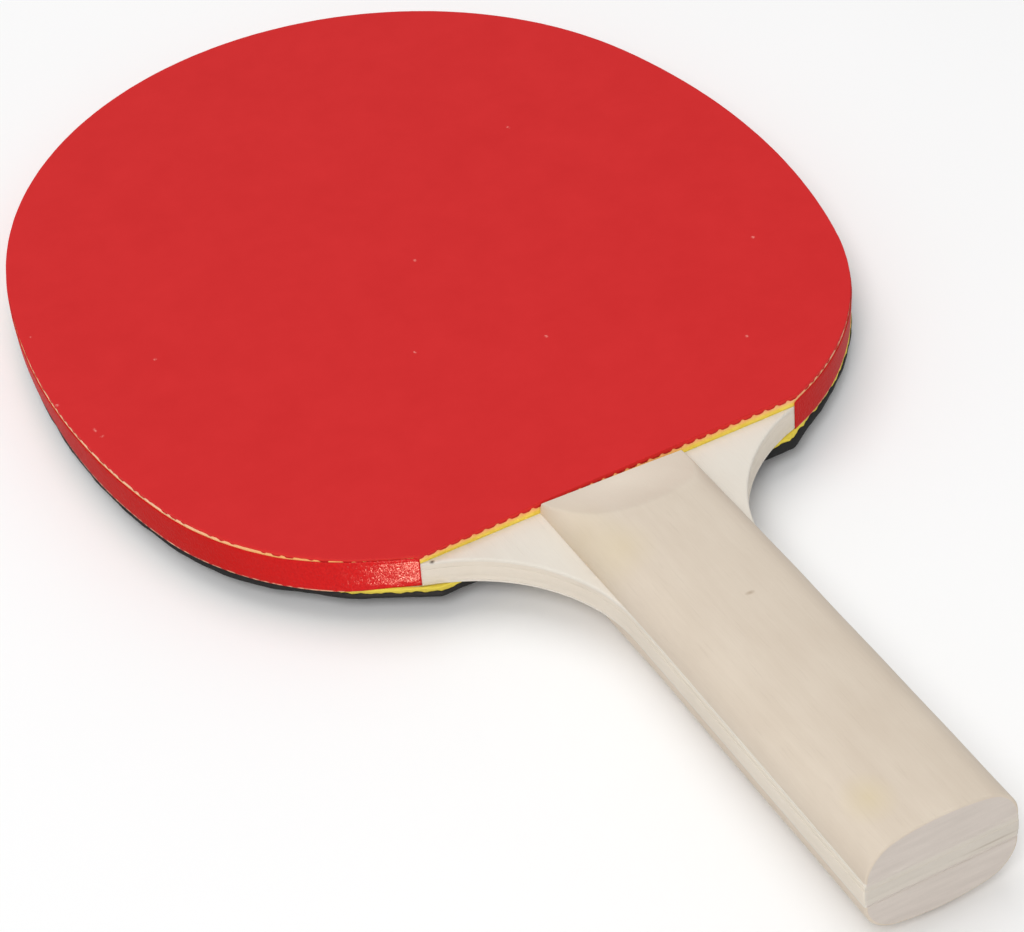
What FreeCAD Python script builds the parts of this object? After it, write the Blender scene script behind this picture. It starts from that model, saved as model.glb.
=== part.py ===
import FreeCAD, Part
import math
import os

# A table tennis paddle, in millimetres. X runs across the blade, Y along it with the handle towards -Y,
# and Z up through the red face. The origin is the centre of the whole paddle's bounding box.

# Blade outline: a head of three tangent arcs each side, then a hollow wing arc into a straight handle tongue.
HEAD_WIDTH = 150.0
HEAD_LENGTH = 158.0          # from the straight edge of the red rubber to the top of the head
CROWN_RADIUS = 72.0
SIDE_RADIUS = 125.0
LOWER_RADIUS = 53.5
SIDE_END = math.radians(-15.0)   # where the side arc hands over to the lower arc
WING_RADIUS = 34.0
HANDLE_WIDTH = 28.6
HANDLE_LENGTH = 105.0        # from the red rubber's straight edge to the butt

# Plywood, from the outside in: a face ply and a cross ply on each side of one core.
FACE_PLY = 0.6
CROSS_PLY = 1.0
CORE_PLY = 2.2
BLADE_HALF = CORE_PLY / 2 + CROSS_PLY + FACE_PLY

# Handle scales: one rounded half handle glued on each side of the tongue.
SCALE_HEIGHT = 8.0
SCALE_WALL = 0.2             # short upright wall above the blade
SHOULDER_RADIUS = 7.0
SCALE_GAP = 0.3              # from its rubber's straight edge to the nearer end of the scale's front
FRONT_LIP = 2.2              # height of the thin front end, level with the rubber
FRONT_SLOPE = math.radians(20.7)
FRONT_SKEW = math.radians(2.4)   # the front end is cut slightly out of square

# Rubbers: a sponge glued to the blade, and a top sheet with its pips turned in towards the sponge.
SPONGE = 1.2
PIP_HEIGHT = 0.5
SKIN = 0.5
PIP_RADIUS = 0.8
PIP_PITCH = 2.4
PIP_BAND = 5.6               # open pips run this far in from the cut edge
PIP_MARGIN = 0.15            # rubber left between an open pip and the cut edge
RUBBER = SPONGE + PIP_HEIGHT + SKIN

# Edge tape round the rim, from wing tip to wing tip.
TAPE = 0.2
TAPE_LAP = 1.05              # how far the tape stands up over the red sponge
TAPE_TOP = BLADE_HALF + TAPE_LAP
TAPE_PAST_EDGE = 0.2         # the tape runs this far past the red rubber's straight edge

BUTT_Y = -(HEAD_LENGTH + TAPE + HANDLE_LENGTH) / 2
EDGE_Y = BUTT_Y + HANDLE_LENGTH  # the red rubber's straight edge
BLACK_REACH = 1.9            # the black rubber's straight edge lies this much nearer the butt

# Each rubber is cut by hand: inset from the blade's rim, moved across, and where its cut leaves the
# lower arc to run straight to the rubber's own straight edge.
RED_CUT = {"inset": 0.0, "across": 0.0, "leave": math.radians(-67.5), "edge_y": EDGE_Y}
BLACK_CUT = {"inset": 0.2, "across": 0.4, "leave": math.radians(-60.0), "edge_y": EDGE_Y - BLACK_REACH}


def polar(centre, radius, angle):
    return (centre[0] + radius * math.cos(angle), centre[1] + radius * math.sin(angle))


# Centres and hand-over angles of the right-hand arcs, from the driving sizes.
CROWN_CENTRE = (0.0, EDGE_Y + HEAD_LENGTH - CROWN_RADIUS)
CROWN_END = math.acos((SIDE_RADIUS - HEAD_WIDTH / 2) / (SIDE_RADIUS - CROWN_RADIUS))
SIDE_CENTRE = polar(CROWN_CENTRE, CROWN_RADIUS - SIDE_RADIUS, CROWN_END)
LOWER_CENTRE = polar(SIDE_CENTRE, SIDE_RADIUS - LOWER_RADIUS, SIDE_END)
WING_X = HANDLE_WIDTH / 2 + WING_RADIUS
WING_DROP = math.sqrt((LOWER_RADIUS + WING_RADIUS) ** 2 - (WING_X - LOWER_CENTRE[0]) ** 2)
WING_CENTRE = (WING_X, LOWER_CENTRE[1] - WING_DROP)
LOWER_END = -math.atan2(WING_DROP, WING_X - LOWER_CENTRE[0])


def vector(point, z=0.0):
    return FreeCAD.Vector(point[0], point[1], z)


def line(start, end, z=0.0):
    return Part.LineSegment(vector(start, z), vector(end, z)).toShape()


def arc(centre, radius, start, end, z=0.0):
    middle = (start + end) / 2
    points = [vector(polar(centre, radius, angle), z) for angle in (start, middle, end)]
    return Part.Arc(*points).toShape()


def head_arcs(inset, last_angle, z=0.0):
    """The right-hand rim from the top of the head down to last_angle on the lower arc."""
    return [
        arc(CROWN_CENTRE, CROWN_RADIUS - inset, math.pi / 2, CROWN_END, z),
        arc(SIDE_CENTRE, SIDE_RADIUS - inset, CROWN_END, SIDE_END, z),
        arc(LOWER_CENTRE, LOWER_RADIUS - inset, SIDE_END, last_angle, z),
    ]


def mirrored(edges):
    return [edge.mirror(FreeCAD.Vector(0, 0, 0), FreeCAD.Vector(1, 0, 0)) for edge in edges]


def prism(edges, height):
    """A solid standing on a closed loop of edges."""
    wire = Part.Wire(Part.__sortEdges__(edges))
    return Part.Face(wire).extrude(FreeCAD.Vector(0, 0, height))


def ply(bottom, thickness):
    """One sheet of the plywood: head, wings and handle tongue."""
    half_width = HANDLE_WIDTH / 2
    right = head_arcs(0.0, LOWER_END, bottom)
    right.append(arc(WING_CENTRE, WING_RADIUS, LOWER_END + math.pi, math.pi, bottom))
    right.append(line((half_width, WING_CENTRE[1]), (half_width, BUTT_Y), bottom))
    butt = line((half_width, BUTT_Y), (-half_width, BUTT_Y), bottom)
    return prism(right + mirrored(right) + [butt], thickness)


def blade():
    """The five plies, from the back face to the front face."""
    names = ["back_face_ply", "back_cross_ply", "core_ply", "front_cross_ply", "front_face_ply"]
    thicknesses = [FACE_PLY, CROSS_PLY, CORE_PLY, CROSS_PLY, FACE_PLY]
    plies = {}
    bottom = -BLADE_HALF
    for name, thickness in zip(names, thicknesses):
        plies[name] = ply(bottom, thickness)
        bottom += thickness
    return plies


def rubber_slab(cut, bottom, thickness):
    """A flat sheet with the outline of a rubber, standing on the plane z = bottom."""
    right = head_arcs(cut["inset"], cut["leave"], bottom)
    leave = polar(LOWER_CENTRE, LOWER_RADIUS - cut["inset"], cut["leave"])
    corner_x = leave[0] + (leave[1] - cut["edge_y"]) * math.tan(cut["leave"])
    corner = (corner_x, cut["edge_y"])
    right.append(line(leave, corner, bottom))
    edge = line(corner, (-corner_x, cut["edge_y"]), bottom)
    slab = prism(right + mirrored(right) + [edge], thickness)
    slab.translate(FreeCAD.Vector(cut["across"], 0, 0))
    return slab


def depth_inside(x, y, cut):
    """How far a point lies inside the edge of a rubber, before the rubber is moved across."""
    above_edge = y - cut["edge_y"]
    arcs = [
        (CROWN_CENTRE, CROWN_RADIUS, CROWN_END),
        (SIDE_CENTRE, SIDE_RADIUS, SIDE_END),
        (LOWER_CENTRE, LOWER_RADIUS, cut["leave"]),
    ]
    for centre, radius, last_angle in arcs:
        across, along = abs(x) - centre[0], y - centre[1]
        if math.atan2(along, across) >= last_angle:
            return min(above_edge, radius - cut["inset"] - math.hypot(across, along))
    towards_run = across * math.cos(cut["leave"]) + along * math.sin(cut["leave"])
    return min(above_edge, LOWER_RADIUS - cut["inset"] - towards_run)


def pip_centres(cut):
    """Staggered rows of pips, kept where they lie in the open band along the cut edge."""
    row_step = PIP_PITCH * math.sqrt(3) / 2
    nearest = PIP_RADIUS + PIP_MARGIN
    farthest = PIP_BAND - nearest
    centres = []
    rows = int(HEAD_LENGTH / row_step)
    columns = int(HEAD_WIDTH / 2 / PIP_PITCH) + 1
    for row in range(rows + 1):
        y = cut["edge_y"] + nearest + row * row_step
        for column in range(-columns, columns + 1):
            x = (column + 0.5 * (row % 2)) * PIP_PITCH
            if nearest <= depth_inside(x, y, cut) <= farthest:
                centres.append((x + cut["across"], y))
    return centres


def top_sheet(cut):
    """A smooth skin and, moulded in one with it, the open pips and the backing they surround."""
    pip_z = BLADE_HALF + SPONGE
    skin = rubber_slab(cut, pip_z + PIP_HEIGHT, SKIN)
    inner_cut = dict(cut, inset=cut["inset"] + PIP_BAND, edge_y=cut["edge_y"] + PIP_BAND)
    pieces = [rubber_slab(inner_cut, pip_z, PIP_HEIGHT)]
    for centre in pip_centres(cut):
        pieces.append(Part.makeCylinder(PIP_RADIUS, PIP_HEIGHT, vector(centre, pip_z)))
    return skin.multiFuse(pieces)


def turned_over(shape):
    """The same piece on the back of the paddle."""
    return shape.mirror(FreeCAD.Vector(0, 0, 0), FreeCAD.Vector(0, 0, 1))


def rubbers():
    sponge_base = BLADE_HALF
    return {
        "red_sponge": rubber_slab(RED_CUT, sponge_base, SPONGE),
        "red_top_sheet": top_sheet(RED_CUT),
        "black_sponge": turned_over(rubber_slab(BLACK_CUT, sponge_base, SPONGE)),
        "black_top_sheet": turned_over(top_sheet(BLACK_CUT)),
    }


def scale_section():
    """The scale's cross-section in the XZ plane: wall, shoulder arc and crown arc, tangent throughout."""
    half_width = HANDLE_WIDTH / 2
    shoulder = (half_width - SHOULDER_RADIUS, SCALE_WALL)
    rise = SCALE_HEIGHT - SCALE_WALL
    crown_radius = (shoulder[0] ** 2 + rise ** 2 - SHOULDER_RADIUS ** 2) / (2 * (rise - SHOULDER_RADIUS))
    crown = (0.0, SCALE_HEIGHT - crown_radius)
    meet = math.atan2(shoulder[1] - crown[1], shoulder[0] - crown[0])
    right = [
        line((half_width, 0), (half_width, SCALE_WALL)),
        arc(shoulder, SHOULDER_RADIUS, 0, meet),
        arc(crown, crown_radius, meet, math.pi / 2),
    ]
    base = line((-half_width, 0), (half_width, 0))
    wire = Part.Wire(Part.__sortEdges__(right + mirrored(right) + [base]))
    wire.rotate(FreeCAD.Vector(0, 0, 0), FreeCAD.Vector(1, 0, 0), 90)
    return wire


def front_cutter(front_y):
    """What is cut away ahead of a scale's slanting, slightly skewed front end."""
    reach = HANDLE_WIDTH
    spare = 1.0
    top = SCALE_HEIGHT + spare
    slope_end = -(top - FRONT_LIP) / math.tan(FRONT_SLOPE)
    profile = [(0, -spare), (0, FRONT_LIP), (slope_end, top), (reach, top), (reach, -spare), (0, -spare)]
    points = [FreeCAD.Vector(-reach, y, z) for y, z in profile]
    cutter = Part.Face(Part.makePolygon(points)).extrude(FreeCAD.Vector(2 * reach, 0, 0))
    pivot = FreeCAD.Vector(-HANDLE_WIDTH / 2, 0, 0)
    cutter.rotate(pivot, FreeCAD.Vector(0, 0, 1), -math.degrees(FRONT_SKEW))
    cutter.translate(FreeCAD.Vector(0, front_y, BLADE_HALF))
    return cutter


def handle_scale(cut):
    """One half of the handle, from just behind its rubber's straight edge to the butt."""
    section = scale_section()
    section.translate(FreeCAD.Vector(0, EDGE_Y, BLADE_HALF))
    bar = Part.Face(section).extrude(FreeCAD.Vector(0, -HANDLE_LENGTH, 0))
    return bar.cut(front_cutter(cut["edge_y"] - SCALE_GAP))


def edge_tape():
    """A strip stuck round the rim of the head, over the plywood and most of the red rubber's sponge."""
    end_y = EDGE_Y - TAPE_PAST_EDGE
    end_angle = -math.asin((LOWER_CENTRE[1] - end_y) / LOWER_RADIUS)
    bottom = -BLADE_HALF
    inner = head_arcs(0.0, end_angle, bottom)
    outer = head_arcs(-TAPE, end_angle, bottom)
    inner_end = polar(LOWER_CENTRE, LOWER_RADIUS, end_angle)
    outer_end = polar(LOWER_CENTRE, LOWER_RADIUS + TAPE, end_angle)
    right = inner + outer + [line(inner_end, outer_end, bottom)]
    strip = prism(right + mirrored(right), TAPE_TOP - bottom)
    return strip.cut(rubber_slab(RED_CUT, BLADE_HALF, SPONGE))


def build():
    parts = blade()
    parts.update(rubbers())
    parts["front_handle_scale"] = handle_scale(RED_CUT)
    parts["back_handle_scale"] = turned_over(handle_scale(BLACK_CUT))
    parts["edge_tape"] = edge_tape()
    return parts


os.makedirs("parts", exist_ok=True)
for node, shape in build().items():
    shape.exportStep("parts/" + node + ".step")
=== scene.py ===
import math

import bpy
import numpy as np
from mathutils import Matrix, Vector


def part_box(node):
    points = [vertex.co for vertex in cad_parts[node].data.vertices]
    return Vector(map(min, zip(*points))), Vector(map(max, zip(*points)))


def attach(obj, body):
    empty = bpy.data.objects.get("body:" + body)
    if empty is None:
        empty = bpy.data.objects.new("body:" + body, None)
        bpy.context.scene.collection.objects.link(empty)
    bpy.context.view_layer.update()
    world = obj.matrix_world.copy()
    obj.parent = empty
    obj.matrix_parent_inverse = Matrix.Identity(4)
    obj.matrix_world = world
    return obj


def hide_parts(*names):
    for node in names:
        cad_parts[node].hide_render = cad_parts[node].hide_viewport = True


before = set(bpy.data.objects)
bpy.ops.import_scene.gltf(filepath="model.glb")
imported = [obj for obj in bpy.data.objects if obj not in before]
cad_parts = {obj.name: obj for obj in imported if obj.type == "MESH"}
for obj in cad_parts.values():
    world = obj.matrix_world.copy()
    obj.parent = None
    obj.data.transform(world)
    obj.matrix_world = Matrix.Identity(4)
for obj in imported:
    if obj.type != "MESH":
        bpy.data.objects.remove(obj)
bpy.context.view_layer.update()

# The scene is in metres. Sizes below are in millimetres and pass through MM.
MM = 0.001

# Blade outline, as in the CAD model: tangent arcs down each side, then a hollow wing arc into the handle.
CROWN_RADIUS = 72.0
SIDE_RADIUS = 125.0
LOWER_RADIUS = 53.5
SIDE_END = math.radians(-15.0)
WING_RADIUS = 34.0

# Rubber cuts: inset from the blade's rim, shift across, and where the cut leaves the lower arc.
# The side is 1 above the blade and -1 below it.
RED_CUT = {"inset": 0.0, "across": 0.0, "leave": math.radians(-67.5), "side": 1}
BLACK_CUT = {"inset": 0.2, "across": 0.4, "leave": math.radians(-60.0), "side": -1}

PIP_RADIUS = 0.8
PIP_PITCH = 2.4
ROW_STEP = PIP_PITCH * math.sqrt(3) / 2

# Distance between the points of an outline, and how many times its corners are softened.
OUTLINE_STEP = 0.3
CORNER_SOFTENINGS = 2


def low(node):
    return np.array(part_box(node)[0]) / MM


def high(node):
    return np.array(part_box(node)[1]) / MM


# Places read from the frame, in millimetres.
EDGE_Y = low("red_sponge")[1]
BLACK_EDGE_Y = low("black_sponge")[1]
BUTT_Y = low("core_ply")[1]
HEAD_TOP = high("core_ply")[1]
HALF_HEAD = high("core_ply")[0]
HALF_HANDLE = high("front_handle_scale")[0]
BLADE_HALF = high("front_face_ply")[2]
SPONGE_TOP = high("red_sponge")[2]
SKIN_TOP = high("red_top_sheet")[2]
TAPE_TOP = high("edge_tape")[2]
SCALE_TOP = high("front_handle_scale")[2]
PIP_HEIGHT = (SKIN_TOP - SPONGE_TOP) / 2
SKIN_BOTTOM = SPONGE_TOP + PIP_HEIGHT
RED_CUT["edge_y"] = EDGE_Y
BLACK_CUT["edge_y"] = BLACK_EDGE_Y


# ---------------------------------------------------------------- outlines

def polar(centre, radius, angle):
    return (centre[0] + radius * math.cos(angle), centre[1] + radius * math.sin(angle))


CROWN_CENTRE = (0.0, HEAD_TOP - CROWN_RADIUS)
CROWN_END = math.acos((SIDE_RADIUS - HALF_HEAD) / (SIDE_RADIUS - CROWN_RADIUS))
SIDE_CENTRE = polar(CROWN_CENTRE, CROWN_RADIUS - SIDE_RADIUS, CROWN_END)
LOWER_CENTRE = polar(SIDE_CENTRE, SIDE_RADIUS - LOWER_RADIUS, SIDE_END)
WING_X = HALF_HANDLE + WING_RADIUS
WING_DROP = math.sqrt((LOWER_RADIUS + WING_RADIUS) ** 2 - (WING_X - LOWER_CENTRE[0]) ** 2)
WING_CENTRE = (WING_X, LOWER_CENTRE[1] - WING_DROP)
LOWER_END = -math.atan2(WING_DROP, WING_X - LOWER_CENTRE[0])


def arc_points(centre, radius, start, end):
    count = max(2, int(abs(end - start) * radius / OUTLINE_STEP))
    angles = np.linspace(start, end, count, endpoint=False)
    return [polar(centre, radius, angle) for angle in angles]


def head_points(inset, last_angle):
    """The right-hand rim, from the top of the head down to last_angle on the lower arc."""
    points = arc_points(CROWN_CENTRE, CROWN_RADIUS - inset, math.pi / 2, CROWN_END)
    points += arc_points(SIDE_CENTRE, SIDE_RADIUS - inset, CROWN_END, SIDE_END)
    return points + arc_points(LOWER_CENTRE, LOWER_RADIUS - inset, SIDE_END, last_angle)


def even_steps(points, closed):
    """The same line with points at even distances."""
    line = np.vstack([points, points[:1]]) if closed else points
    lengths = np.concatenate([[0], np.cumsum(np.hypot(*np.diff(line, axis=0).T))])
    count = int(round(lengths[-1] / OUTLINE_STEP))
    at = np.linspace(0, lengths[-1], count + (0 if closed else 1), endpoint=not closed)
    return np.column_stack([np.interp(at, lengths, line[:, k]) for k in (0, 1)])


def closed_outline(right_half, across=0.0):
    """A closed, evenly stepped outline from its right half, clockwise from the top, corners just softened."""
    right = np.array(right_half)
    left = right[:0:-1] * (-1, 1)
    points = even_steps(np.vstack([right, left]), closed=True)
    for _ in range(CORNER_SOFTENINGS):
        points = points / 2 + (np.roll(points, 1, 0) + np.roll(points, -1, 0)) / 4
    return points + (across, 0)


def rubber_outline(cut):
    right = head_points(cut["inset"], cut["leave"])
    leave = polar(LOWER_CENTRE, LOWER_RADIUS - cut["inset"], cut["leave"])
    corner_x = leave[0] + (leave[1] - cut["edge_y"]) * math.tan(cut["leave"])
    return closed_outline(right + [leave, (corner_x, cut["edge_y"])], cut["across"])


def blade_outline():
    right = head_points(0.0, LOWER_END)
    right += arc_points(WING_CENTRE, WING_RADIUS, LOWER_END + math.pi, math.pi)
    right += [(HALF_HANDLE, WING_CENTRE[1]), (HALF_HANDLE, BUTT_Y)]
    return closed_outline(right)


def outward(points, closed=True):
    """Unit normals pointing out of a clockwise outline."""
    if closed:
        along = np.roll(points, -1, 0) - np.roll(points, 1, 0)
    else:
        along = np.gradient(points, axis=0)
    along /= np.hypot(*along.T)[:, None]
    return np.column_stack([-along[:, 1], along[:, 0]])


def wander(count, spread, waves, seed):
    """A gentle closed wobble along an outline: hand work is never quite even."""
    picker = np.random.default_rng(seed)
    at = np.linspace(0, 2 * math.pi, count, endpoint=False)
    total = np.zeros(count)
    for wave in waves:
        total += picker.normal() * np.cos(wave * at + picker.uniform(0, 2 * math.pi))
    return spread * total / math.sqrt(len(waves))


def ramp(values, start, end):
    """0 at start and 1 at end, even in between and flat outside; start may be the larger of the two."""
    return np.clip((values - start) / (end - start), 0, 1)


def close_to(points, place, reach):
    """1 at a place on an outline, fading out over reach millimetres."""
    return np.exp(-((points[:, 0] - place[0]) ** 2 + (points[:, 1] - place[1]) ** 2) / reach ** 2)


# ---------------------------------------------------------------- uneven hand work round the rim

# How deep the work goes, where on the outline it is and how far it reaches along it.
SWELLING_HEIGHT = 0.7
SWELLING_PLACE = (-42.5, EDGE_Y + 2.2)
SWELLING_REACH = 7.0

LEFT_SANDING = 0.75
LEFT_SANDING_Y = EDGE_Y + 82.0
LEFT_SANDING_REACH = 28.0
RIGHT_SANDING = 0.35
RIGHT_SANDING_PLACE = (59.0, EDGE_Y + 14.0)
RIGHT_SANDING_REACH = 15.0


def left_swelling(points):
    """How far the black side's sponge swells up past the blade's lower edge, round the tape's left end."""
    return SWELLING_HEIGHT * close_to(points, SWELLING_PLACE, SWELLING_REACH)


def sanded_back(points, z):
    """How far the rim is sanded back: most at the blade's lower edge, none at the tape's top."""
    left = LEFT_SANDING * np.exp(-((points[:, 1] - LEFT_SANDING_Y) / LEFT_SANDING_REACH) ** 2)
    right = RIGHT_SANDING * close_to(points, RIGHT_SANDING_PLACE, RIGHT_SANDING_REACH)
    return np.where(points[:, 0] < 0, left, right) * (TAPE_TOP - z) / (TAPE_TOP + BLADE_HALF)


# ---------------------------------------------------------------- mesh building

def ring(points, z):
    return np.column_stack([points, np.broadcast_to(z, len(points))])


def finish_piece(name, vertices, faces, material):
    mesh = bpy.data.meshes.new(name)
    mesh.from_pydata((np.asarray(vertices) * MM).tolist(), [], faces)
    mesh.validate()
    mesh.update()
    for face in mesh.polygons:
        face.use_smooth = True
    piece = bpy.data.objects.new(name, mesh)
    bpy.context.scene.collection.objects.link(piece)
    mesh.materials.append(material)
    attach(piece, "root")
    return piece


def ring_faces(rows, length, closed=True):
    """Quads between neighbouring rings of the same length."""
    faces = []
    span = length if closed else length - 1
    for row in range(rows - 1):
        start = row * length
        for k in range(span):
            following = (k + 1) % length
            faces.append((start + k, start + following, start + length + following, start + length + k))
    return faces


def ring_solid(name, rings, material):
    """A closed solid from rings that run from the middle of one face, over the edge, to the other face."""
    length = len(rings[0])
    faces = ring_faces(len(rings), length)
    last = (len(rings) - 1) * length
    faces.append(tuple(range(length - 1, -1, -1)))
    faces.append(tuple(range(last, last + length)))
    if rings[0][:, 2].mean() < rings[-1][:, 2].mean():
        faces = [face[::-1] for face in faces]
    return finish_piece(name, np.vstack(rings), faces, material)


def rounded_edge(radius, top, steps=3):
    """(inset, z) pairs that turn from a top face down into a side."""
    turns = np.linspace(0, math.pi / 2, steps + 1)
    return [(radius * (1 - math.sin(a)), top - radius * (1 - math.cos(a))) for a in turns]


# ---------------------------------------------------------------- helper for node materials

# Noise lies mostly between these values.
NOISE_RANGE = (0.3, 0.7)
FILM_IOR = 1.35


class Nodes:
    """A small helper that adds and links nodes in one material."""

    def __init__(self, name):
        self.material = bpy.data.materials.new(name)
        self.material.use_nodes = True
        self.tree = self.material.node_tree
        self.shader = self.tree.nodes["Principled BSDF"]

    def add(self, kind, settings=None, **inputs):
        node = self.tree.nodes.new(kind)
        for key, value in (settings or {}).items():
            setattr(node, key, value)
        for key, value in inputs.items():
            self.feed(node.inputs[key.replace("_", " ")], value)
        return node

    def feed(self, socket, value):
        if isinstance(value, bpy.types.NodeSocket):
            self.tree.links.new(value, socket)
        else:
            socket.default_value = value

    def place(self, scale=(1, 1, 1), rotation=(0, 0, 0)):
        """Object coordinates in millimetres times scale: the larger the scale, the finer the pattern."""
        coordinates = self.add("ShaderNodeTexCoord")
        mapping = self.add("ShaderNodeMapping", Vector=coordinates.outputs["Object"])
        mapping.inputs["Scale"].default_value = [s / MM for s in scale]
        mapping.inputs["Rotation"].default_value = rotation
        return mapping.outputs["Vector"]

    def noise(self, vector, scale=1.0, detail=2.0, roughness=0.5, distortion=0.0):
        node = self.add("ShaderNodeTexNoise", Vector=vector, Scale=scale, Detail=detail,
                        Roughness=roughness, Distortion=distortion)
        return node.outputs["Fac"]

    def grey(self, value, lowest, highest):
        """The value from lowest to highest, spread over 0 to 1."""
        node = self.add("ShaderNodeMapRange", Value=value)
        node.inputs["From Min"].default_value = lowest
        node.inputs["From Max"].default_value = highest
        return node.outputs["Result"]

    def math(self, operation, first, second):
        node = self.add("ShaderNodeMath", {"operation": operation})
        self.feed(node.inputs[0], first)
        self.feed(node.inputs[1], second)
        return node.outputs[0]

    def weighted(self, *parts):
        """The sum of (value, share) pairs."""
        total = None
        for value, share in parts:
            part = self.math("MULTIPLY", value, share)
            total = part if total is None else self.math("ADD", total, part)
        return total

    def mix(self, share, first, second):
        """The first colour at share 0, the second at share 1."""
        node = self.add("ShaderNodeMix", {"data_type": "RGBA"})
        self.feed(node.inputs[0], share)
        self.feed(node.inputs[6], first)
        self.feed(node.inputs[7], second)
        return node.outputs[2]

    def near(self, place, radius, stretch=(1, 1, 1), fade=1.0):
        """1 at a place in millimetres, falling to 0 at radius over the outer part that fade gives."""
        coordinates = self.add("ShaderNodeTexCoord")
        offset = self.add("ShaderNodeVectorMath", {"operation": "SUBTRACT"})
        self.feed(offset.inputs[0], coordinates.outputs["Object"])
        offset.inputs[1].default_value = [c * MM for c in place]
        scaled = self.add("ShaderNodeVectorMath", {"operation": "MULTIPLY"})
        self.feed(scaled.inputs[0], offset.outputs[0])
        scaled.inputs[1].default_value = [s / (radius * MM) for s in stretch]
        length = self.add("ShaderNodeVectorMath", {"operation": "LENGTH"})
        self.feed(length.inputs[0], scaled.outputs[0])
        return self.grey(length.outputs["Value"], 1.0, 1.0 - fade)

    def level(self, start, end):
        """0 at one height in millimetres, rising to 1 at the other."""
        coordinates = self.add("ShaderNodeTexCoord")
        parts = self.add("ShaderNodeSeparateXYZ", Vector=coordinates.outputs["Object"])
        return self.grey(parts.outputs["Z"], start * MM, end * MM)

    def add_stains_and_lit_spots(self, colour, stains_and_lit_spots):
        """The colour with soft spots, stains and painted light alike: each is a place, a radius, a stretch, a
        strength and a colour.
        """
        for place, radius, stretch, strength, spot_colour in stains_and_lit_spots:
            share = self.math("MULTIPLY", self.near(place, radius, stretch), strength)
            colour = self.mix(share, colour, spot_colour)
        return colour

    def bump(self, height, distance, strength=1.0):
        node = self.add("ShaderNodeBump", Height=height, Strength=strength, Distance=distance * MM)
        return node.outputs["Normal"]

    def film(self, weight, normal, roughness):
        """A thin clear film over the surface, with bumps of its own."""
        self.feed(self.shader.inputs["Coat Weight"], weight)
        self.shader.inputs["Coat Roughness"].default_value = roughness
        self.shader.inputs["Coat IOR"].default_value = FILM_IOR
        self.feed(self.shader.inputs["Coat Normal"], normal)

    def finish(self, colour, normal, roughness, specular):
        self.feed(self.shader.inputs["Base Color"], colour)
        self.feed(self.shader.inputs["Roughness"], roughness)
        self.feed(self.shader.inputs["Normal"], normal)
        self.shader.inputs["Specular IOR Level"].default_value = specular
        return self.material


def srgb(red, green, blue):
    """A linear colour from 0-255 display values."""
    def linear(value):
        value /= 255
        return value / 12.92 if value <= 0.04045 else ((value + 0.055) / 1.055) ** 2.4
    return (linear(red), linear(green), linear(blue), 1.0)


# ---------------------------------------------------------------- materials

PORE_STRENGTH = 0.09
PORE_DARKNESS = 0.72
DUST = srgb(246, 160, 150)
DUST_STRENGTH = 0.65

FOAM_DEEP = srgb(240, 204, 72)
FOAM_PALE = srgb(250, 220, 98)
FOAM_FOOT = srgb(234, 212, 82)
FOAM_RIM = srgb(255, 190, 118)
FOAM_LIT_RIM = srgb(255, 202, 168)
FOAM_HOLLOW_SHADE = srgb(214, 164, 56)

TAPE_DEEP = srgb(208, 20, 24)
TAPE_BRIGHT = srgb(226, 28, 29)
# Painted shade: darker reds for the tape's right side and its far left, where less light falls.
TAPE_SHADE_RIGHT = srgb(198, 28, 24)
TAPE_SHADE_LEFT = srgb(197, 20, 15)
TAPE_PALE_EDGE = srgb(252, 196, 160)
SHINGLE_SLOPE = 0.42


def wood(name, pale, dark, along=(0.9, 0.045, 0.9), stains_and_lit_spots=()):
    """Bare sanded wood: fine fibres along one axis, soft clouds, faint streaks and short pores."""
    n = Nodes(name)
    fibres = n.noise(n.place(along), scale=3.0, detail=5.0, roughness=0.62, distortion=0.3)
    streaks = n.noise(n.place([s * 0.16 for s in along]), detail=3.0, roughness=0.55, distortion=0.8)
    clouds = n.noise(n.place((0.09, 0.05, 0.09)), detail=3.0, roughness=0.6)
    tone = n.weighted((n.grey(fibres, *NOISE_RANGE), 0.22), (n.grey(streaks, 0.32, 0.68), 0.38),
                      (n.grey(clouds, *NOISE_RANGE), 0.40))
    colour = n.mix(tone, dark, pale)
    pores = n.noise(n.place([s * 2.6 for s in along]), scale=1.6, detail=1.0, roughness=0.4)
    pore_share = n.math("MULTIPLY", n.grey(pores, 0.36, 0.27), PORE_STRENGTH)
    pore_colour = [c * PORE_DARKNESS for c in dark[:3]] + [1.0]
    colour = n.add_stains_and_lit_spots(n.mix(pore_share, colour, pore_colour), stains_and_lit_spots)
    height = n.weighted((fibres, 0.7), (n.grey(pores, 0.27, 0.36), 0.3))
    return n.finish(colour, n.bump(height, distance=0.05, strength=0.5), roughness=0.62, specular=0.25)


def end_grain(name, pale, dark, stains_and_lit_spots=()):
    """The sawn butt: fine dots of cut fibres and faint saw lines."""
    n = Nodes(name)
    dots = n.noise(n.place((5.0, 0.4, 5.0)), detail=3.0, roughness=0.7)
    bands = n.noise(n.place((0.10, 0.1, 0.9)), detail=3.0, roughness=0.5)
    saw = n.noise(n.place((0.5, 0.5, 5.5), (0, 0.35, 0)), detail=2.0, roughness=0.5)
    tone = n.weighted((n.grey(dots, *NOISE_RANGE), 0.35), (n.grey(bands, *NOISE_RANGE), 0.65))
    height = n.weighted((dots, 0.5), (saw, 0.5))
    colour = n.add_stains_and_lit_spots(n.mix(tone, dark, pale), stains_and_lit_spots)
    return n.finish(colour, n.bump(height, distance=0.08, strength=0.5), roughness=0.75, specular=0.15)


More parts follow.
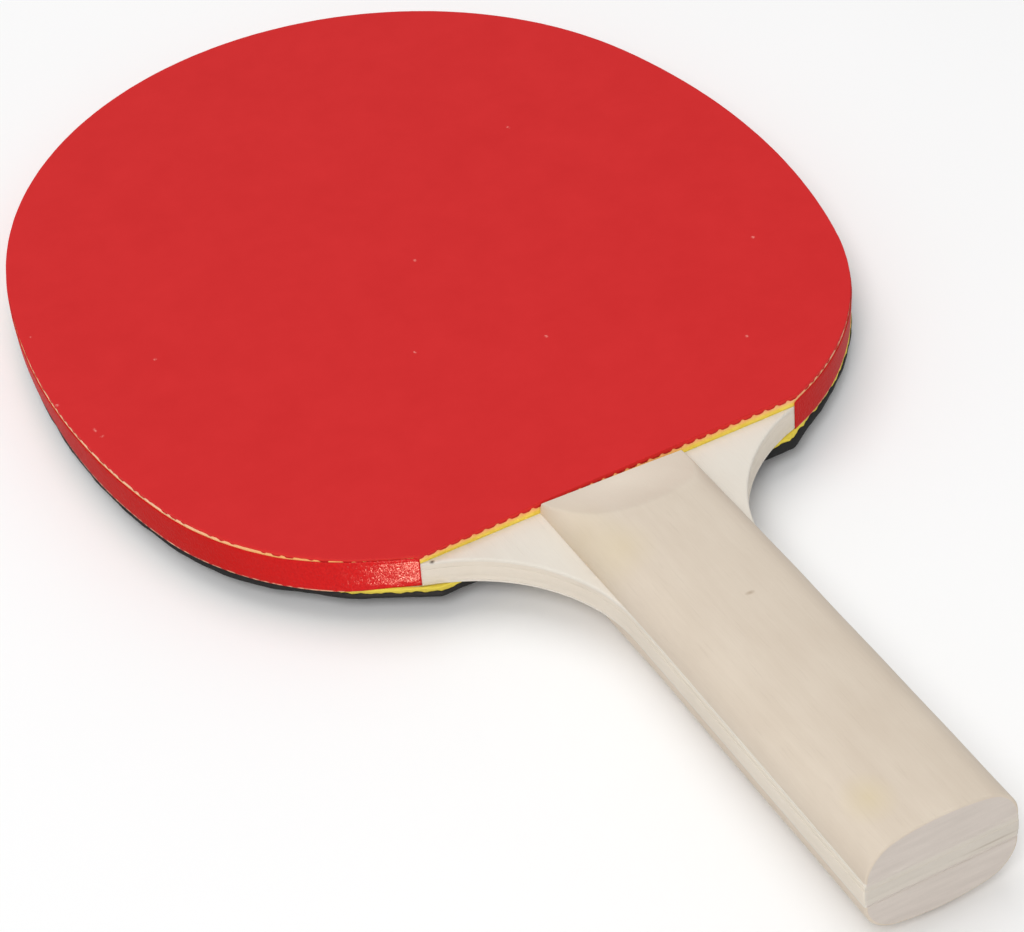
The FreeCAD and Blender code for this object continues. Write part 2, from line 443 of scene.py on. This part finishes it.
def rubber(name, face, deep, cut, side, flecks=()):
    """Smooth table tennis rubber: even colour, its own cut edge, a fine matt grain and flecks of dust."""
    n = Nodes(name)
    grain = n.noise(n.place((9.0, 9.0, 9.0)), detail=3.0, roughness=0.6)
    clouds = n.noise(n.place((0.12, 0.12, 0.12)), detail=4.0, roughness=0.65)
    tone = n.weighted((n.grey(clouds, *NOISE_RANGE), 0.55), (n.grey(grain, *NOISE_RANGE), 0.45))
    colour = n.mix(tone, deep, face)
    colour = n.mix(n.level(side * (SKIN_TOP - 0.08), side * (SKIN_TOP - 0.2)), colour, cut)
    lint = n.grey(n.noise(n.place((2.5, 2.5, 2.5)), detail=2.0, roughness=0.7), 0.42, 0.62)
    for across, up, radius, stretch in flecks:
        spot = n.near((across, EDGE_Y + up, side * SKIN_TOP), radius, stretch, fade=0.6)
        dusty = n.math("MULTIPLY", spot, lint)
        colour = n.mix(n.math("MULTIPLY", dusty, DUST_STRENGTH), colour, DUST)
    pips = n.noise(n.place((0.5, 0.5, 0.5)), detail=2.0)
    height = n.weighted((grain, 0.35), (pips, 0.65))
    return n.finish(colour, n.bump(height, distance=0.03, strength=0.6), roughness=0.55, specular=0.1)


def sponge():
    """Yellow foam: open cells on the cut edge with painted shade in their hollows, orange where it meets the
    skin, and painted light making that band paler near both sides of the head.
    """
    n = Nodes("yellow_sponge")
    cells = n.add("ShaderNodeTexVoronoi", Vector=n.place((4.2, 4.2, 4.2)), Scale=1.0)
    clouds = n.noise(n.place((0.5, 0.5, 0.5)), detail=3.0)
    depth = n.grey(cells.outputs["Distance"], 0.05, 0.45)
    colour = n.mix(n.grey(clouds, *NOISE_RANGE), FOAM_DEEP, FOAM_PALE)
    colour = n.mix(n.level(BLADE_HALF + 0.35, BLADE_HALF + 0.15), colour, FOAM_FOOT)
    rim = FOAM_RIM
    # Painted light: the orange band under the skin turns paler near both sides of the head.
    for place in ((-HALF_HEAD, EDGE_Y + 60.0, SPONGE_TOP), (HALF_HEAD, EDGE_Y + 20.0, SPONGE_TOP)):
        rim = n.mix(n.near(place, radius=50.0, fade=0.5), rim, FOAM_LIT_RIM)
    colour = n.mix(n.level(SPONGE_TOP - 0.6, SPONGE_TOP - 0.05), colour, rim)
    # Painted shade: the foam darkens in the hollows of its cells.
    hollow_shade = n.math("MULTIPLY", n.grey(cells.outputs["Distance"], 0.22, 0.05), 0.35)
    colour = n.mix(hollow_shade, colour, FOAM_HOLLOW_SHADE)
    return n.finish(colour, n.bump(depth, distance=0.06, strength=0.7), roughness=0.8, specular=0.15)


def tape():
    """Red cloth tape: the raised threads are glossy and lie like shingles; painted shade darkens it at the
    right and at the far left, and the lower edge has pale blotches.
    """
    n = Nodes("red_tape")
    threads = n.noise(n.place((2.6, 2.6, 1.6)), detail=1.0, roughness=0.5)
    crinkle = n.noise(n.place((0.35, 0.35, 0.7)), detail=3.0, roughness=0.6)
    waves = n.noise(n.place((0.35, 0.35, 0.7)), detail=1.0)
    fine = n.noise(n.place((5.5, 5.5, 3.6)), detail=0.0)
    weave = n.weighted((fine, 0.035), (waves, 0.16))
    raised = n.grey(n.noise(n.place((6.0, 6.0, 4.2)), detail=1.0, roughness=0.5), 0.46, 0.70)
    shingle = n.math("MULTIPLY", n.level(TAPE_TOP, -BLADE_HALF), (TAPE_TOP + BLADE_HALF) * SHINGLE_SLOPE)
    gloss = n.math("ADD", n.math("MULTIPLY", raised, 0.5), 0.2)
    n.film(gloss, n.bump(n.math("ADD", weave, shingle), distance=1.0), roughness=0.17)
    colour = n.mix(n.grey(threads, *NOISE_RANGE), TAPE_DEEP, TAPE_BRIGHT)
    # Painted shade: the red darkens towards the right side of the head.
    colour = n.mix(n.near((HALF_HEAD, EDGE_Y, 0), radius=75.0, fade=0.6), colour, TAPE_SHADE_RIGHT)
    # Painted shade: the red darkens at the far left of the head.
    colour = n.mix(n.near((-HALF_HEAD, EDGE_Y + 45.0, 0), radius=52.0, fade=0.6), colour, TAPE_SHADE_LEFT)
    blotches = n.grey(n.noise(n.place((0.7, 0.7, 0.7)), detail=2.0), 0.42, 0.58)
    rim = n.math("MULTIPLY", n.level(0.28 - BLADE_HALF, 0.08 - BLADE_HALF), blotches)
    colour = n.mix(rim, colour, TAPE_PALE_EDGE)
    height = n.weighted((threads, 0.5), (crinkle, 0.5))
    return n.finish(colour, n.bump(height, distance=0.25), roughness=0.5, specular=0.05)


# Colours of the stains and marks, and of the painted light on the handle's planed front; where they lie is
# given beside each wood below.
PENCIL_DOT = srgb(92, 82, 72)
PAINTED_LIGHT_FRONT = srgb(238, 227, 210)
HANDLE_STAIN = srgb(214, 196, 150)
KNOT = srgb(170, 150, 126)
WARM_EDGE = srgb(216, 200, 162)
SEAM = srgb(150, 132, 112)

FACE_WOOD = wood("face_veneer", srgb(230, 224, 213), srgb(221, 213, 201), stains_and_lit_spots=[
    ((-36.3, EDGE_Y - 0.6, BLADE_HALF), 0.5, (0.8, 1.2, 1), 1.2, PENCIL_DOT),
])
CROSS_END = wood("cross_veneer_end", srgb(217, 209, 198), srgb(208, 200, 188), (0.05, 0.25, 2.2), stains_and_lit_spots=[
    ((HALF_HANDLE - 5.0, BUTT_Y, -1.2), 7.0, (1, 0.3, 30), 0.5, SEAM),
])
SIDE_WOOD = wood("cross_veneer", srgb(234, 225, 211), srgb(220, 209, 193), along=(0.25, 0.05, 2.2))
CORE_WOOD = wood("core_wood", srgb(234, 225, 211), srgb(222, 211, 195), along=(0.4, 0.06, 1.2))
CORE_END = end_grain("core_end_grain", srgb(215, 207, 196), srgb(204, 196, 185), stains_and_lit_spots=[
    ((HALF_HANDLE - 5.0, BUTT_Y, -1.05), 7.0, (1, 0.3, 30), 0.4, SEAM),
])
HANDLE_WOOD = wood("handle_wood", srgb(222, 209, 192), srgb(209, 194, 176), stains_and_lit_spots=[
    ((-7.9, EDGE_Y - 95.1, 10.2), 4.8, (1, 0.8, 0.5), 0.45, HANDLE_STAIN),
    ((-9.6, EDGE_Y - 22.0, 8.6), 5.0, (0.9, 0.7, 0.5), 0.28, HANDLE_STAIN),
    ((1.3, EDGE_Y - 44.8, 10.6), 0.9, (0.8, 1.6, 0.5), 0.75, KNOT),
    ((-12.6, EDGE_Y - 14.0, 6.0), 9.0, (1.4, 0.55, 0.8), 0.35, WARM_EDGE),
    # Painted light: the planed front is made paler so it looks as bright as the crown.
    ((0.0, EDGE_Y - 3.0, 6.0), 19.0, (1.0, 1.3, 1.0), 0.9, PAINTED_LIGHT_FRONT),
])
END_WOOD = end_grain("end_grain", srgb(216, 206, 197), srgb(203, 193, 184))
# Flecks of dust: across, up from the rubber's straight edge, radius and stretch.
RED_FLECKS = [
    (35.7, 100.4, 0.63, (1.6, 1, 1)),
    (-71.7, 61.9, 0.77, (2.0, 1, 1)),
    (-74.6, 72.1, 0.49, (1, 1, 1)),
    (-71.4, 59.6, 0.63, (1, 2.0, 1)),
    (-70.5, 93.0, 0.28, (1, 1, 1)),
    (-53.8, 74.1, 0.42, (1, 1, 1)),
    (0.3, 73.3, 0.42, (1, 1, 1)),
    (-12.7, 49.2, 0.42, (1, 1, 1)),
    (9.7, 39.8, 0.49, (1, 1, 1)),
    (56.9, 43.8, 0.49, (1, 1, 1)),
    (40.4, 19.4, 0.42, (1, 1, 1)),
]
RED = rubber("red_rubber", srgb(212, 43, 44), srgb(204, 37, 38), srgb(220, 48, 43), 1, RED_FLECKS)
BLACK = rubber("black_rubber", srgb(47, 47, 48), srgb(37, 37, 39), srgb(44, 44, 44), -1)
SPONGE = sponge()
TAPE = tape()


# ---------------------------------------------------------------- plywood

# The handle leans one way at its front and the other way at its butt, and swells towards the butt.
FRONT_LEAN = 0.5
BUTT_LEAN = 0.35
BUTT_SWELL = 0.35
LEAN_START_Y = WING_CENTRE[1] + 14.0
LEAN_FULL_Y = WING_CENTRE[1] - 8.0

# The wings turn into the handle between these two.
HANDLE_START_Y = WING_CENTRE[1] + 10.0
HANDLE_FULL_Y = WING_CENTRE[1] - 6.0

# How far in from its edge a flat face has its two inner rings.
FACE_RINGS = (1.5, 0.6)
RIM_WOBBLE = 0.03
CRISP_ARRIS = 0.04
EASED_ARRIS = 0.35
HANDLE_CRISPNESS = 0.8
CROSS_INSET = 0.035
BUTT_DEPTH = 1.0


def sanded_handle(points):
    """Hand shaping of the handle, seen from above: it leans a hair and swells towards the butt."""
    x, y = points[:, 0], points[:, 1]
    back = ramp(y, EDGE_Y, BUTT_Y)
    tongue = ramp(y, LEAN_START_Y, LEAN_FULL_Y)
    lean = (FRONT_LEAN - (FRONT_LEAN + BUTT_LEAN) * back) * tongue
    swell = BUTT_SWELL * back ** 2 * np.clip(x / HALF_HANDLE, -1, 1)
    return np.column_stack([x + lean + swell * tongue, y])


def use_at_butt(piece, end_material, steepness):
    """Gives the butt a material of its own; its faces look backwards by at least the steepness."""
    piece.data.materials.append(end_material)
    for face in piece.data.polygons:
        if face.normal.y < -steepness and face.center.y < (BUTT_Y + BUTT_DEPTH) * MM:
            face.material_index = 1


def make_ply(node, inset, bulge, material, arrises, end_material):
    """One ply: (lower, upper) arrises softened on the wings and head, the flank swelling on the handle."""
    bottom, top = low(node)[2], high(node)[2]
    outline = blade_outline()
    normals = outward(outline)
    on_handle = ramp(outline[:, 1], HANDLE_START_Y, HANDLE_FULL_Y)
    flank = on_handle * np.abs(normals[:, 0])
    base = wander(len(outline), RIM_WOBBLE, (3, 5, 8, 13), 3) * (1 - on_handle) + inset - bulge * flank
    softness = 1 - HANDLE_CRISPNESS * on_handle
    upper = [(depth, top, 0.0) for depth in FACE_RINGS]
    upper += [(depth, z, 1.0) for depth, z in rounded_edge(arrises[1], top)]
    lower = [(depth, bottom, 0.0) for depth in FACE_RINGS]
    lower += [(depth, bottom + (top - z), 1.0) for depth, z in rounded_edge(arrises[0], top)]
    rings = []
    for depth, z, rounded in upper + lower[::-1]:
        edge_z = top if z > (top + bottom) / 2 else bottom
        level = edge_z + (z - edge_z) * softness
        reach = depth * (1 - rounded + rounded * softness) + base + sanded_back(outline, level)
        rings.append(ring(sanded_handle(outline - normals * reach[:, None]), level))
    piece = ring_solid(node + "_wood", rings, material)
    use_at_butt(piece, end_material, 0.9)
    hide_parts(node)
    return piece


def make_blade():
    """Five plies; each stands back a little at the rim and bulges a little on the handle's flank."""
    crisp = (CRISP_ARRIS, CRISP_ARRIS)
    eased_below = (EASED_ARRIS, CRISP_ARRIS)
    eased_above = (CRISP_ARRIS, EASED_ARRIS)
    # The node, its inset, its bulge, its wood, its arrises, its wood at the butt and its slot.
    plies = [
        ("back_face_ply", 0.0, 0.04, FACE_WOOD, eased_below, END_WOOD, "face_veneer"),
        ("back_cross_ply", CROSS_INSET, 0.16, SIDE_WOOD, crisp, CROSS_END, "cross_veneer"),
        ("core_ply", 0.0, 0.20, CORE_WOOD, crisp, CORE_END, "core_wood"),
        ("front_cross_ply", CROSS_INSET, 0.16, SIDE_WOOD, crisp, CROSS_END, "cross_veneer"),
        ("front_face_ply", 0.0, 0.04, FACE_WOOD, eased_above, END_WOOD, "face_veneer"),
    ]
    for node, inset, bulge, material, arrises, end_material, slot in plies:
        piece = make_ply(node, inset, bulge, material, arrises, end_material)


# ---------------------------------------------------------------- rubbers

# The knife leans: over a rubber's full height its cut moves this far, times the lean at that place.
KNIFE_LEAN = 0.45
LEFT_END_LENGTH = 23.0
LEFT_END_TURN = 1.7
TIP_HEIGHT = 22.0
# Partly real, partly painted shadow: at the right tip the black sheet leans out further, dark rubber standing
# in for the shadow under the tip.
TIP_LEAN_AND_SHADOW = -2.2
TIP_TRIM = 0.4
ABOVE_TIP_LEAN = 1.3
ABOVE_TIP_PLACE = (51.0, EDGE_Y + 7.0)
ABOVE_TIP_REACH = 14.0
TRIM_DEPTH = 0.7
TRIM_PLACE = (-56.0, EDGE_Y + 11.7)
TRIM_REACH = 5.0

# Rings further in than this lie on the flat faces and don't follow the ragged cut.
RAGGED_DEPTH = 0.6
SKIN_ARRIS = 0.14
PIP_SOFTNESS = 0.12
SKIN_HANG = 0.03
SPONGE_GAP = 0.07

# The black pips' smeared length as a share of the moulded one, and how much rougher or longer they get.
SMEARED_LENGTH = 1.15
PIP_LENGTH_STEP = 0.2
PIP_ROUGHNESS = 0.16
HEAD_SMEAR = 0.2
# Partly real, partly painted shadow: at the right tip the black pips reach further over the yellow, standing
# in for the shadow under the tip.
TIP_SMEAR_AND_SHADOW = 0.4
ABOVE_TIP_SMEAR = -0.2


def pip_share(points, cut):
    """1 where a cut edge runs through a pip, 0 in the gaps between pips."""
    row = np.round((points[:, 1] - cut["edge_y"]) / ROW_STEP)
    best = np.full(len(points), np.inf)
    for near_row in (row - 1, row, row + 1):
        shift = 0.5 * (near_row % 2)
        column = np.round((points[:, 0] - cut["across"]) / PIP_PITCH - shift)
        x = (column + shift) * PIP_PITCH + cut["across"]
        y = cut["edge_y"] + near_row * ROW_STEP
        best = np.minimum(best, np.hypot(points[:, 0] - x, points[:, 1] - y))
    return ramp(best, PIP_RADIUS + PIP_SOFTNESS, PIP_RADIUS - PIP_SOFTNESS)


def on_right(points):
    """0 on the left half, rising to 1 well inside the right one."""
    return ramp(points[:, 0], 0.0, 30.0)


def red_knife(outline):
    """The red cut leans in along its straight edge, and the other way at the left end. It isn't trimmed."""
    lean = ramp(outline[:, 1], EDGE_Y + 0.4, EDGE_Y + 0.1)
    lean *= 1 - LEFT_END_TURN * ramp(outline[:, 0], -HALF_HANDLE, -HALF_HANDLE - LEFT_END_LENGTH)
    return lean, 0.0


def black_knife(outline, normals):
    """The black cut leans out at the right tip and in above it, and is trimmed to the sanded rim. The lean at
    the tip is partly real and partly dark rubber standing in for the shadow under it.
    """
    right = on_right(outline)
    tip = right * ramp(outline[:, 1], BLACK_EDGE_Y + TIP_HEIGHT, BLACK_EDGE_Y)
    tip *= ramp(normals[:, 0], -0.55, 0.45)
    lean = ABOVE_TIP_LEAN * close_to(outline, ABOVE_TIP_PLACE, ABOVE_TIP_REACH) - 0.3 * right + TIP_LEAN_AND_SHADOW * tip
    trimmed = TRIM_DEPTH * close_to(outline, TRIM_PLACE, TRIM_REACH)
    return lean, TIP_TRIM * tip + sanded_back(outline, -BLADE_HALF) / 2 + trimmed


def rubber_rings(cut, rows, raggedness, waves, seed):
    """Rings of a rubber's outline. The knife leans as it cuts, so one face stands proud of the other."""
    outline = rubber_outline(cut)
    normals = outward(outline)
    ragged = wander(len(outline), raggedness, waves, seed)
    lean, trimmed = red_knife(outline) if cut["side"] > 0 else black_knife(outline, normals)
    rings = []
    for depth, z in rows(outline):
        level = np.broadcast_to(np.asarray(z, dtype=float), len(outline))
        leaning = KNIFE_LEAN * (level - BLADE_HALF) / (SKIN_TOP - BLADE_HALF) * lean
        reach = depth + trimmed + leaning + (ragged if np.max(depth) < RAGGED_DEPTH else 0.0)
        rings.append(ring(outline - normals * reach[:, None], cut["side"] * level))
    return rings


def make_top_sheet(node, cut, material, raggedness, pips, seed):
    """Skin with its cut edge; pips(outline) gives how far the cut-through pips reach down at each point."""
    def rows(outline):
        tooth = SKIN_BOTTOM - SKIN_HANG - pips(outline)
        skin = [(1.6, SKIN_TOP), (0.5, SKIN_TOP)] + rounded_edge(SKIN_ARRIS, SKIN_TOP) + [(0.03, SKIN_BOTTOM)]
        return skin + [(0.0, tooth), (0.8, tooth), (0.84, SKIN_BOTTOM), (1.6, SKIN_BOTTOM)]

    rings = rubber_rings(cut, rows, raggedness, (23, 41, 67, 97, 151), seed)
    piece = ring_solid(node + "_rubber", rings, material)
    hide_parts(node)
    return piece


def red_pips(outline):
    return pip_share(outline, RED_CUT) * (PIP_HEIGHT - 0.13)


def black_pips(outline):
    """The knife smears the black sheet's edge, so its pips run together, most of all round the head."""
    rough = wander(len(outline), PIP_ROUGHNESS, (61, 113, 197, 283, 379), 9)
    above = outline[:, 1] - BLACK_EDGE_Y
    length = PIP_HEIGHT * (SMEARED_LENGTH + PIP_LENGTH_STEP * pip_share(outline, BLACK_CUT))
    right = TIP_SMEAR_AND_SHADOW * ramp(above, 9.6, 1.6) + ABOVE_TIP_SMEAR * ramp(above, 6.0, 12.0)
    return length + HEAD_SMEAR * ramp(above, 3.0, 17.0) + on_right(outline) * right + rough


def make_sponge(node, cut, pips, seed):
    """Foam slab. Its cut edge swells up between the pips; the black one's also swells past the blade."""
    def rows(outline):
        swell = SKIN_BOTTOM - SPONGE_GAP - pips(outline)
        flat = SPONGE_TOP - 0.02
        top = [(1.8, flat), (0.9, flat), (0.7, swell), (0.2, swell), (0.06, swell - 0.08)]
        middle = (SPONGE_TOP + BLADE_HALF) / 2 - 0.2
        lip = left_swelling(outline) if cut["side"] < 0 else np.zeros(len(outline))
        top += [(0.03, middle), (0.03 - lip, BLADE_HALF + 0.1), (0.05 - lip, BLADE_HALF + 0.03 - lip)]
        return top + [(0.07 - lip / 2, BLADE_HALF - lip), (0.3, BLADE_HALF), (1.8, BLADE_HALF)]

    rings = rubber_rings(cut, rows, 0.03, (17, 29, 53, 83, 131), seed)
    piece = ring_solid(node + "_foam", rings, SPONGE)
    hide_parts(node)


def make_rubbers():
    red = make_top_sheet("red_top_sheet", RED_CUT, RED, raggedness=0.015, pips=red_pips, seed=5)
    black = make_top_sheet("black_top_sheet", BLACK_CUT, BLACK, raggedness=0.05, pips=black_pips, seed=6)
    make_sponge("red_sponge", RED_CUT, red_pips, seed=7)
    make_sponge("black_sponge", BLACK_CUT, black_pips, seed=8)


# ---------------------------------------------------------------- edge tape

# The tape stands off the wood by its gap, which hides the uneven rim.
TAPE_THICKNESS = 0.17
TAPE_GAP = 0.03
TAPE_END_Y = EDGE_Y + 0.02
TAPE_LOWERED = 0.10

# The upper edge rises towards both ends and droops at their very tips; the lower edge sags between them.
LEFT_END_RISE = 0.75
RIGHT_END_RISE = 0.3
END_DROOP = 0.35
MIDDLE_SAG = 0.12


def make_tape():
    """A thin strip round the rim, open along the straight edge. Its edges wander a little."""
    end_angle = -math.asin((LOWER_CENTRE[1] - TAPE_END_Y) / LOWER_RADIUS)
    last = polar(LOWER_CENTRE, LOWER_RADIUS + TAPE_GAP, end_angle)
    right = np.array(head_points(-TAPE_GAP, end_angle) + [last])
    whole = np.vstack([right[::-1], (right * (-1, 1))[1:]])
    path = even_steps(whole, closed=False)[::-1]
    normals = outward(path, closed=False)
    length = len(path)
    from_left = np.arange(length) * OUTLINE_STEP
    from_end = np.minimum(from_left, from_left[::-1])
    left_rise = LEFT_END_RISE * ramp(from_left, 26.0, 7.0)
    right_rise = RIGHT_END_RISE * np.exp(-from_left[::-1] / 40.0)
    droop = END_DROOP * np.exp(-from_end / 0.8)
    top = TAPE_TOP - TAPE_LOWERED + left_rise + right_rise - droop
    top += wander(length, 0.05, (4, 7, 11, 19, 43, 67), 21)
    sag = MIDDLE_SAG * (1 - np.exp(-from_end / 18.0))
    bottom = -BLADE_HALF - sag + wander(length, 0.04, (5, 9, 14, 23), 22) + left_swelling(path)
    lift = wander(length, 0.02, (6, 10, 31), 23)
    section = [(0.0, 0.0), (TAPE_THICKNESS * 0.6, 0.0)]
    section += [(TAPE_THICKNESS, up) for up in (0.06, 0.2, 0.5, 0.8, 0.94)]
    section += [(TAPE_THICKNESS * 0.6, 1.0), (0.0, 1.0)]
    rings = []
    for out, up in section:
        z = bottom + (top - bottom) * up
        reach = out + lift * (1 if out else 0) - sanded_back(path, z)
        rings.append(ring(path + normals * np.broadcast_to(reach, length)[:, None], z))
    faces = ring_faces(len(rings), length, closed=False)
    last_ring = (len(rings) - 1) * length
    back = [(last_ring + k, last_ring + k + 1, k + 1, k) for k in range(length - 1)]
    row_starts = range(0, last_ring + 1, length)
    ends = [tuple(row_starts), tuple(start + length - 1 for start in row_starts)[::-1]]
    piece = finish_piece("edge_tape_strip", np.vstack(rings), faces + back + ends, TAPE)
    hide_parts("edge_tape")


# ---------------------------------------------------------------- handle

SHOULDER_RADIUS = 7.0
SCALE_WALL = 0.2

# The front end is planed to a slope above a lip. It is skewed and stands a little closer to the rubber than in
# the CAD model; both fade out over the skew's length.
FRONT_LIP = 2.2
FRONT_SLOPE = math.radians(20.7)
FRONT_SKEW = math.radians(2.4)
SCALE_CLOSER = 0.25
SKEW_LENGTH = 60.0
SLOPE_SOFTNESS = 0.25
WALL_KEPT = 0.3
BUTT_ARRIS = 0.4
SHARP_ANGLE = math.radians(38)


def scale_stations(total):
    """Distances from the scale's front at which its section is repeated, closest at both ends."""
    stations = np.concatenate([np.linspace(0, 0.3, 4), np.linspace(0.5, 20, 79), np.linspace(21, 100, 80)])
    ending = total - np.array([3.0, 1.0, 0.5, 0.3, 0.2, 0.1, 0.04, 0.0])
    return np.concatenate([stations[stations < total - 3.5], ending])


def scale_section():
    """Half of the scale's cross-section, from the blade up over the shoulder to the crown line."""
    rise = SCALE_TOP - BLADE_HALF - SCALE_WALL
    shoulder_x = HALF_HANDLE - SHOULDER_RADIUS
    crown_radius = (shoulder_x ** 2 + rise ** 2 - SHOULDER_RADIUS ** 2) / (2 * (rise - SHOULDER_RADIUS))
    crown_z = SCALE_TOP - BLADE_HALF - crown_radius
    meet = math.atan2(SCALE_WALL - crown_z, shoulder_x)
    points = [(HALF_HANDLE - 0.05, 0.0), (HALF_HANDLE, 0.06)]
    turns = np.linspace(0, meet, 22, endpoint=False)
    points += [polar((shoulder_x, SCALE_WALL), SHOULDER_RADIUS, angle) for angle in turns]
    points += [polar((0, crown_z), crown_radius, angle) for angle in np.linspace(meet, math.pi / 2, 26)]
    return np.array(points)


def make_scale(node, side, seed):
    """One half of the handle: a lofted section, its front planed to a slope and its arrises softened."""
    half = scale_section()
    section = np.vstack([half, (half * (-1, 1))[-2::-1]])
    x, z = section.T
    front = high(node)[1]
    total = front - BUTT_Y
    phases = np.random.default_rng(seed).uniform(0, 2 * math.pi, 2)
    rings = []
    for s in scale_stations(total):
        skew = max(0.0, 1 - s / SKEW_LENGTH)
        y = front + SCALE_CLOSER * skew - (x + HALF_HANDLE) * math.tan(FRONT_SKEW) * skew - s
        plane = FRONT_LIP + s * math.tan(FRONT_SLOPE)
        planed = (z + plane - np.hypot(z - plane, SLOPE_SOFTNESS)) / 2 + SLOPE_SOFTNESS / 8
        height = np.where(z > WALL_KEPT, planed, z)
        into_arris = max(0.0, BUTT_ARRIS - (total - s))
        shrink = BUTT_ARRIS - math.sqrt(BUTT_ARRIS ** 2 - into_arris ** 2)
        hand_work = 0.06 * np.sin(0.11 * s + phases[0]) + 0.04 * np.sin(0.27 * s + 0.2 * x + phases[1])
        lifted = ramp(height, 0.0, 3.0)
        shaped = sanded_handle(np.column_stack([x - shrink * x / HALF_HANDLE, y]))
        rings.append(ring(shaped, side * (BLADE_HALF + height + (hand_work - shrink) * lifted)))
    length = len(section)
    faces = ring_faces(len(rings), length)
    last = (len(rings) - 1) * length
    faces.append(tuple(range(length)))
    faces.append(tuple(range(last, last + length))[::-1])
    if side > 0:
        faces = [face[::-1] for face in faces]
    piece = finish_piece(node + "_wood", np.vstack(rings), faces, HANDLE_WOOD)
    use_at_butt(piece, END_WOOD, 0.8)
    piece.data.set_sharp_from_angle(angle=SHARP_ANGLE)
    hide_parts(node)


# ---------------------------------------------------------------- stage, light and camera

FLOOR_GAP = 0.1
FLOOR_HALF = 4000.0
HANDLE_TOUCH_Y = EDGE_Y - 17.0

# The lights' and the camera's places and sizes are in metres, the powers in watts, the lens in millimetres.
WORLD_STRENGTH = 0.5
FLASH_COLOUR = (1.0, 0.66, 0.5)
LENS = 141.57
SENSOR = 36.0
CAMERA_PLACE = (-0.25221, -0.49886, 0.47155)
CAMERA_TARGET = (-0.010856, -0.009964, 0.0)
CAMERA_ROLL = math.radians(-4.684)


def make_floor():
    """A pale table top. The paddle leans on it: handle on its lower crown, head on its far rim."""
    handle_touch = low("back_handle_scale")[2] - FLOOR_GAP
    rim_touch = low("black_top_sheet")[2] - FLOOR_GAP
    slope = (rim_touch - handle_touch) / (HEAD_TOP - HANDLE_TOUCH_Y)
    corners = [(FLOOR_HALF * x, FLOOR_HALF * y) for x, y in ((-1, -1), (1, -1), (1, 1), (-1, 1))]
    vertices = [(x * MM, y * MM, (handle_touch + slope * (y - HANDLE_TOUCH_Y)) * MM) for x, y in corners]
    mesh = bpy.data.meshes.new("table_top")
    mesh.from_pydata(vertices, [], [(0, 1, 2, 3)])
    floor = bpy.data.objects.new("table_top", mesh)
    bpy.context.scene.collection.objects.link(floor)
    n = Nodes("pale_table")
    cloud = n.noise(n.place((0.01, 0.01, 0.01)), detail=2.0)
    tone = n.mix(cloud, (0.95, 0.95, 0.95, 1), (0.98, 0.98, 0.98, 1))
    mesh.materials.append(n.finish(tone, n.bump(cloud, distance=0.02), roughness=0.9, specular=0.0))
    # The glossy tape mirrors the studio and not the table.
    floor.visible_glossy = False


def aim(thing, place, target, roll=0.0):
    thing.location = place
    turn = (Vector(target) - Vector(place)).to_track_quat("-Z", "Y").to_matrix().to_4x4()
    thing.rotation_euler = (turn @ Matrix.Rotation(roll, 4, "Z")).to_euler()


def add_light(name, place, size, power, colour=(1.0, 1.0, 1.0), glints_only=False):
    """A round soft light aimed at the paddle's middle; with glints_only it shows in glossy surfaces alone."""
    data = bpy.data.lights.new(name, "AREA")
    data.shape = "DISK"
    data.size = size
    data.energy = power
    data.color = colour
    light = bpy.data.objects.new(name, data)
    bpy.context.scene.collection.objects.link(light)
    light.visible_diffuse = not glints_only
    aim(light, place, (0.0, 0.0, 0.0))


def light_scene():
    world = bpy.data.worlds.new("studio")
    world.use_nodes = True
    background = world.node_tree.nodes["Background"]
    background.inputs["Color"].default_value = (1.0, 1.0, 1.0, 1.0)
    background.inputs["Strength"].default_value = WORLD_STRENGTH
    bpy.context.scene.world = world
    add_light("overhead", (-0.18, 0.5, 1.7), size=1.6, power=9.9)
    add_light("key", (-0.72, -0.98, 1.28), size=0.7, power=11.3)
    add_light("flash", (-0.64, -1.48, 0.17), size=0.2, power=27.0, colour=FLASH_COLOUR, glints_only=True)
    bpy.context.scene.view_settings.view_transform = "Standard"


def make_camera():
    """Above and to the left of the butt, looking down the handle, turned a little on its own axis."""
    data = bpy.data.cameras.new("camera")
    data.lens = LENS
    data.sensor_width = SENSOR
    data.clip_start = 0.01
    camera = bpy.data.objects.new("camera", data)
    bpy.context.scene.collection.objects.link(camera)
    aim(camera, CAMERA_PLACE, CAMERA_TARGET, CAMERA_ROLL)
    bpy.context.scene.camera = camera


make_blade()
make_rubbers()
make_tape()
make_scale("front_handle_scale", side=1, seed=31)
make_scale("back_handle_scale", side=-1, seed=32)
make_floor()
light_scene()
make_camera()
